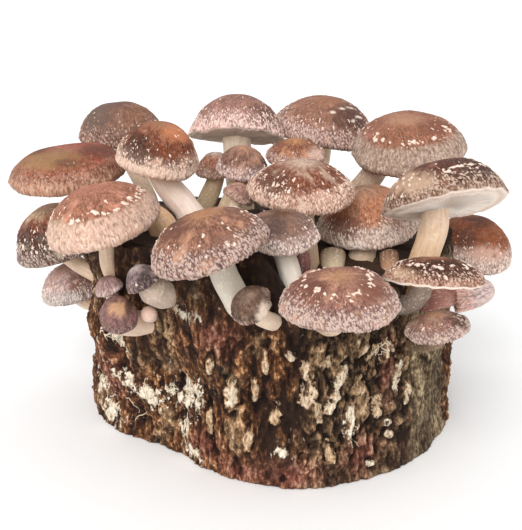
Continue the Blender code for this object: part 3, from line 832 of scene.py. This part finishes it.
def cap_mesh(where, mushroom, skin):
    """A cap with its scales, folds and gills raised, and what its colours follow kept on it."""
    radius = mushroom.radius
    segments, rows = next(grid for least, grid in CAP_GRIDS if radius >= least)
    profile = cap_outline(where, mushroom, rows)
    mesh, point, turn = turned(profile, segments)
    wobble = random.Random(where)
    oval, corner = wobble.uniform(0, math.pi), wobble.uniform(0, math.pi)
    draw = random.Random("scales of " + where)
    seed = draw.uniform(0, 90)
    places, normal = rows_of(mesh, "co"), rows_of(mesh, "normal")
    flat = np.hypot(places[:, 0], places[:, 1])
    walked = np.r_[0, np.cumsum(np.linalg.norm(np.diff(profile, axis=0), axis=1))]
    arc, top_length = walked[point], walked[rows - 1]
    share = arc / top_length
    reach = radius * (0.45 + 0.55 * np.minimum(share, 1))
    polar = np.column_stack([np.cos(turn) * reach, np.sin(turn) * reach, arc * 0.75])

    # the marks of the skin, each 0 to 1
    on_skin = 1 - ease(share, *(THIN_SKIN_ENDS if where in THIN_MARGINS else SKIN_ENDS))
    fleck, network = scales_on(polar, share, radius, skin, seed)
    band = np.zeros(len(share))
    if skin.band:
        band = ease(share + 0.05 * grain(polar, 3, seed + 9), skin.band, skin.band + 0.06) * on_skin
        fleck, network = fleck * (1 - 0.9 * band), network * (1 - 0.5 * band)
    if skin.ring:
        warp = grain(polar, (1.6, 1.6, 1.6), seed)
        torn = big_scales(arc + 1.1 * warp, turn + 0.03 * warp, radius, top_length, skin.ring, draw)
        fleck = np.maximum(fleck, torn)
    near_rim = ease(share, 0.6, 0.95) * on_skin
    streak = ease(grain(polar, (0.7, 0.7, 3), seed + 5), 0, 0.35) * near_rim
    fleck, network = fleck * on_skin, network * on_skin
    on_gills = ease(share, *GILLS_BEGIN)
    gill = np.abs(np.remainder(turn * GILL_COUNT / (2 * math.pi), 1) * 2 - 1)

    # what stands out of the plain dome, and how its rim strays from a level circle
    folds = grain(polar, (1, 1, 5), seed + 12) * band
    lump = grain(places, radius * 0.45, seed) * (1 - on_gills)
    relief = SCALE_RISE * np.maximum(fleck, 0.7 * network) + STREAK_RISE * streak + FOLD_RISE * folds
    relief += 0.1 * grain(polar, 1.1, seed) * ease(share, 0.1, 0.4)
    relief += LUMP_SHARE * radius * lump - GILL_DEPTH * gill * on_gills * ease(flat, 3.5, 7)
    places += normal * relief[:, None]
    swell = OVAL * np.cos(2 * (turn - oval)) + THREE_CORNERED * np.cos(3 * (turn - corner))
    places[:, 2] += radius * RIM_WAVE * (flat / radius) ** 2 * np.cos(2 * (turn - corner))
    around = np.column_stack([np.cos(turn), np.sin(turn), 0 * turn]) * radius
    ripple = (grain(around, 7, seed) + 0.5 * grain(around, 3, seed + 3)) * ease(share, 0.7, 1)
    ripple *= RIM_RIPPLE * (1 - ease(share, 1.3, 1.6))
    places[:, 2] += 0.8 * ripple
    places[:, :2] *= (1 + swell + ripple / radius)[:, None]
    turn_into_place = growth_axis(mushroom.lean, mushroom.nod).to_track_quat("Z", "Y").to_matrix()
    places = places @ np.array(turn_into_place).T

    across, up = places[:, 0], 0.3 * places[:, 1] + 0.95 * places[:, 2]
    uneven = 0.6 * grain(polar, 3.4, seed + 15) + 0.3 * grain(polar, 1.2, seed + 16)
    for number, (right, above, half_width, half_height, _) in enumerate(skin.patches):
        near = np.exp(-0.7 * (((across - right) / half_width) ** 2 + ((up - above) / half_height) ** 2))
        keep(mesh, **{f"patch_{number}": ease(near + uneven * near, 0.15, 0.85) * on_skin})
    put(mesh, (places + np.array(mushroom.centre)) * MM)
    keep(
        mesh, share=share / SHARE_SPAN, fleck=fleck, network=network, under=1 - on_skin,
        streak=streak, band=band, gill=1 - on_gills * gill, polar=polar + seed,
    )
    return mesh


def skin_material(name, skin):
    """Matt brown skin that pales over its marks, with the pale gills under it."""
    made, tree, shader = new_material(name, 0.6)
    polar = stored(tree, "polar", "Vector")
    share = stored(tree, "share")
    blotch = mottle(tree, polar, 0.11, 3)
    fibril = mottle(tree, polar, 1.1, 4, (1, 1, 0.3), 0.6)
    speck = mottle(tree, polar, 1.6, 3, (1, 1, 0.7), 0.65)
    moved = combine(tree, "MULTIPLY_ADD", blotch, 0.32, share)
    moved = combine(tree, "SUBTRACT", moved, 0.16)
    # the top colour carries painted light where it is paler than the shoulder
    colour = ramp(
        tree, moved,
        (0.04, skin.apex), (0.34, skin.middle), (0.52, skin.middle), (0.70, skin.edge), way="EASE",
    )
    dark = dimmed(skin.middle, 0.55)
    light = between([min(v * 1.18, 255) for v in skin.apex], (212, 174, 158), 0.4)
    faint = ramp(tree, fibril, (0.40, 0.8), (0.58, 0))
    faint = combine(tree, "MULTIPLY", faint, ramp(tree, share, (0.05, 0.4), (0.4, 1)))
    colour = blend(tree, faint, colour, dark)
    cloud = mottle(tree, polar, 0.2, 2)
    colour = blend(tree, ramp(tree, cloud, (0.36, 0.32), (0.5, 0)), colour, dark)
    grit = mottle(tree, polar, 0.55, 4, (1, 1, 0.8), 0.7)
    colour = blend(tree, ramp(tree, grit, (0.40, 0.5), (0.50, 0)), colour, dark)
    colour = blend(tree, ramp(tree, grit, (0.54, 0), (0.64, 0.28)), colour, light)
    colour = blend(tree, ramp(tree, blotch, (0.52, 0), (0.70, 0.55)), colour, light)
    for number, patch in enumerate(skin.patches):
        over = combine(tree, "MULTIPLY", stored(tree, f"patch_{number}"), 0.8)
        colour = blend(tree, over, colour, patch[4])
    fold = mottle(tree, polar, 0.8, 4, (1, 1, 0.16), 0.65)
    crest = between(skin.edge, CREAM_FLECK, 0.6)
    folds = ramp(tree, fold, (0.36, dimmed(skin.edge, 0.66)), (0.5, skin.edge), (0.66, crest))
    colour = blend(tree, combine(tree, "MULTIPLY", stored(tree, "band"), 0.85), colour, folds)
    streaks = combine(tree, "MULTIPLY", stored(tree, "streak"), 0.35)
    colour = blend(tree, streaks, colour, (218, 190, 174))
    net = combine(tree, "MULTIPLY_ADD", speck, 0.9, stored(tree, "network"))
    margin = between(skin.edge, CREAM_FLECK, 0.65)
    colour = blend(tree, ramp(tree, net, (0.52, 0), (0.88, 0.94)), colour, margin)
    pale = combine(tree, "MULTIPLY_ADD", speck, 0.8, stored(tree, "fleck"))
    colour = blend(tree, ramp(tree, pale, (0.6, 0), (0.98, 0.94)), colour, CREAM_FLECK)
    gill = ramp(
        tree, stored(tree, "gill"),
        (0, (246, 228, 214)), (0.85, (255, 246, 234)), (1, (246, 226, 210)),
    )
    colour = blend(tree, ramp(tree, stored(tree, "under"), (0.2, 0), (0.8, 1)), colour, gill)
    tree.links.new(colour, shader.inputs["Base Color"])
    rough = combine(tree, "MULTIPLY_ADD", fibril, 0.8, combine(tree, "ADD", pale, net))
    bump(tree, shader, rough, 0.6, 0.6)
    return made


for where, mushroom in MUSHROOMS.items():
    skin = SKINS[where]
    cap, finish = cap_mesh(where, mushroom, skin), skin_material("cap_skin_" + where, skin)
    new_piece(where + "_cap", cap, finish, "cap_" + where)


# The mycelium. White threads of the fungus that have crept out of the wood and lie on the bark:
# long strands down the left side, a torn fringe under the lowest button and roots on the right.
THREAD_RINGS, THREAD_SIDES = 14, 6
# bunches of threads: angle and height of the upper end, spread of the bunch in degrees, how far
# down it reaches, how many threads and their greatest radius
THREADS = (
    (174, 62, 12, 22, 4, 0.34), (-163, 55, 9, 14, 4, 0.3), (-150, 68, 6, 7, 18, 0.4),
    (-142, 64, 4, 5, 8, 0.34), (-57, 77, 3, 9, 6, 0.34), (-66, 30, 1.5, 9, 5, 0.3),
    (-123, 26, 1.5, 10, 5, 0.34), (-152, 22, 8, 9, 8, 0.28),
)


def on_bark(angle, height):
    """The nearest place on the finished bark, in mm."""
    aside = apart(angle, bark_angle) * LOG_HALF_WIDTH
    nearest = np.argmin(aside**2 + (bark_place[:, 2] - height) ** 2)
    return bark_place[nearest]


bark = ~on_cut & (share > 0)
bark_place = rows_of(log_mesh, "co")[bark] / MM
bark_angle = angle[bark]
draw = random.Random("threads")
threads = bmesh.new()
for at_angle, top, spread, fall, count, thickest in THREADS:
    for _ in range(count):
        turn = math.radians(at_angle + draw.uniform(-spread, spread))
        start, length = top + draw.uniform(-0.3, 0.3) * fall, fall * draw.uniform(0.3, 1.1)
        drift, sway = draw.gauss(0, 0.035), draw.uniform(0, 2 * math.pi)
        route = []
        for ring in range(THREAD_RINGS + 1):
            part = ring / THREAD_RINGS
            bearing = turn + drift * part + 0.005 * math.sin(7 * part + sway)
            place = on_bark(bearing, start - length * part)
            lifted = Vector(place) + Vector((math.cos(bearing), math.sin(bearing), 0)) * (0.2 * thickest)
            thick = thickest * (0.35 + 0.65 * math.sin(math.pi * (0.15 + 0.8 * part)))
            route.append([lifted, thick, None])
        for ring, row in enumerate(route):
            ahead, behind = route[min(ring + 1, THREAD_RINGS)][0], route[max(ring - 1, 0)][0]
            row[2] = (ahead - behind + Vector((0, 0, -1e-3))).normalized()
        one = swept([tuple(row) for row in route], THREAD_SIDES, 0.1, draw.uniform(0, 50))
        threads.from_mesh(one)
        bpy.data.meshes.remove(one)
thread_mesh = bpy.data.meshes.new("threads")
threads.to_mesh(thread_mesh)
threads.free()
flesh = stem_material("mycelium", (240, 226, 202), (232, 214, 186))
new_piece("mycelium_threads", thread_mesh, flesh, None)


# The closed buds. Five pinheads that have only just broken through the bark and the saw cut, each
# a small lump of the same flesh, not yet parted into a cap and a stem; two of them are stout.
ROUND_BUD = ((1, 0), (0.97, 0.45), (0.85, 0.78), (0.6, 1), (0.3, 0.95), (0, 0.7), (-0.2, 0.6))
STOUT_BUD = ((1, 0), (0.99, 0.6), (0.92, 0.92), (0.6, 1), (0.3, 0.95), (0, 0.9), (-0.2, 0.85))
BUD_RINGS, BUD_SIDES, BUD_WRINKLE = 30, 40, 0.03
# where a bud leaves the log, its radius and length, lean and nod, half outline, tones at tip and foot
BUDS = {
    "left": ((-61, -84, 88), 4.2, 8, -20, 50, ROUND_BUD, (216, 176, 160), (234, 216, 196)),
    # the middle bud's dull mauve is partly painted shade, from the shadow between the stems round it
    "middle": ((17, -68, 106), 5, 14, 2, 8, ROUND_BUD, (168, 112, 108), (150, 96, 90)),
    "tucked": ((22, -101.5, 105), 7, 13.5, 0, 0, ROUND_BUD, (206, 158, 136), (196, 150, 132)),
    # the dark tips of the two stout buds are painted shade, cast by the cap over them
    "inner_left": ((35, -53, 104), 7, 11.5, 5, -42, STOUT_BUD, (120, 98, 76), (226, 204, 172)),
    "inner_right": ((66, -56, 103.5), 5.2, 12.5, 0, -42, STOUT_BUD, (104, 72, 54), (196, 150, 116)),
}
for side, (foot, radius, length, lean, nod, profile, upper, lower) in BUDS.items():
    axis = growth_axis(lean, nod)
    along = smooth_curve([(length * a, radius * w) for a, w in profile], BUD_RINGS)
    route = [(Vector(foot) + axis * a, max(w, 0.05), -axis) for a, w in along.tolist()]
    flesh = stem_material("bud_flesh_" + side, upper, lower)
    new_piece(side + "_bud", swept(route, BUD_SIDES, BUD_WRINKLE, 3), flesh, "bud_" + side)


# The studio. A plain pale floor, soft light from a pale room, a broad lamp above the front left
# and a faint one low in front that reaches under the caps, and the camera a little above the log.
FLOOR_SIZE, FLOOR_DROP = 12, 0.0005
ROOM_BRIGHTNESS = 0.85
LAMPS = (  # strength, breadth in degrees, and where the light goes
    ("broad_lamp", 1.8, 40, (0.3, 0.95, -0.75)),
    ("low_lamp", 0.6, 60, (0.1, 1, -0.05)),
)
CAMERA_PLACE, LOOKS_DOWN = (-0.004, -0.57378, 0.26592), 17
PICTURE_HEIGHT, SENSOR, FOCAL_PIXELS = 530, 36, 1000

floor_form = bmesh.new()
bmesh.ops.create_grid(floor_form, x_segments=1, y_segments=1, size=FLOOR_SIZE)
floor_mesh = bpy.data.meshes.new("floor")
floor_form.to_mesh(floor_mesh)
floor_form.free()
floor = stand("floor", floor_mesh)
floor.location.z = -FLOOR_DROP
paper, _, paper_shader = new_material("pale_floor", 0.9)
paper_shader.inputs["Base Color"].default_value = (0.97, 0.97, 0.97, 1)
floor_mesh.materials.append(paper)

world = bpy.data.worlds.new("pale_room")
world.use_nodes = True
world.node_tree.nodes["Background"].inputs[0].default_value = (1, 1, 1, 1)
world.node_tree.nodes["Background"].inputs[1].default_value = ROOM_BRIGHTNESS
bpy.context.scene.world = world
for name, energy, breadth, aim in LAMPS:
    lamp = bpy.data.lights.new(name, "SUN")
    lamp.energy = energy
    lamp.angle = math.radians(breadth)
    stand(name, lamp).rotation_euler = Vector(aim).to_track_quat("-Z", "Y").to_euler()

camera = bpy.data.cameras.new("camera")
camera.lens = SENSOR * FOCAL_PIXELS / PICTURE_HEIGHT
camera.sensor_width = SENSOR
camera_holder = stand("camera", camera)
camera_holder.location = CAMERA_PLACE
camera_holder.rotation_euler = (math.radians(90 - LOOKS_DOWN), 0, 0)
bpy.context.scene.camera = camera_holder
bpy.context.scene.view_settings.view_transform = "Standard"
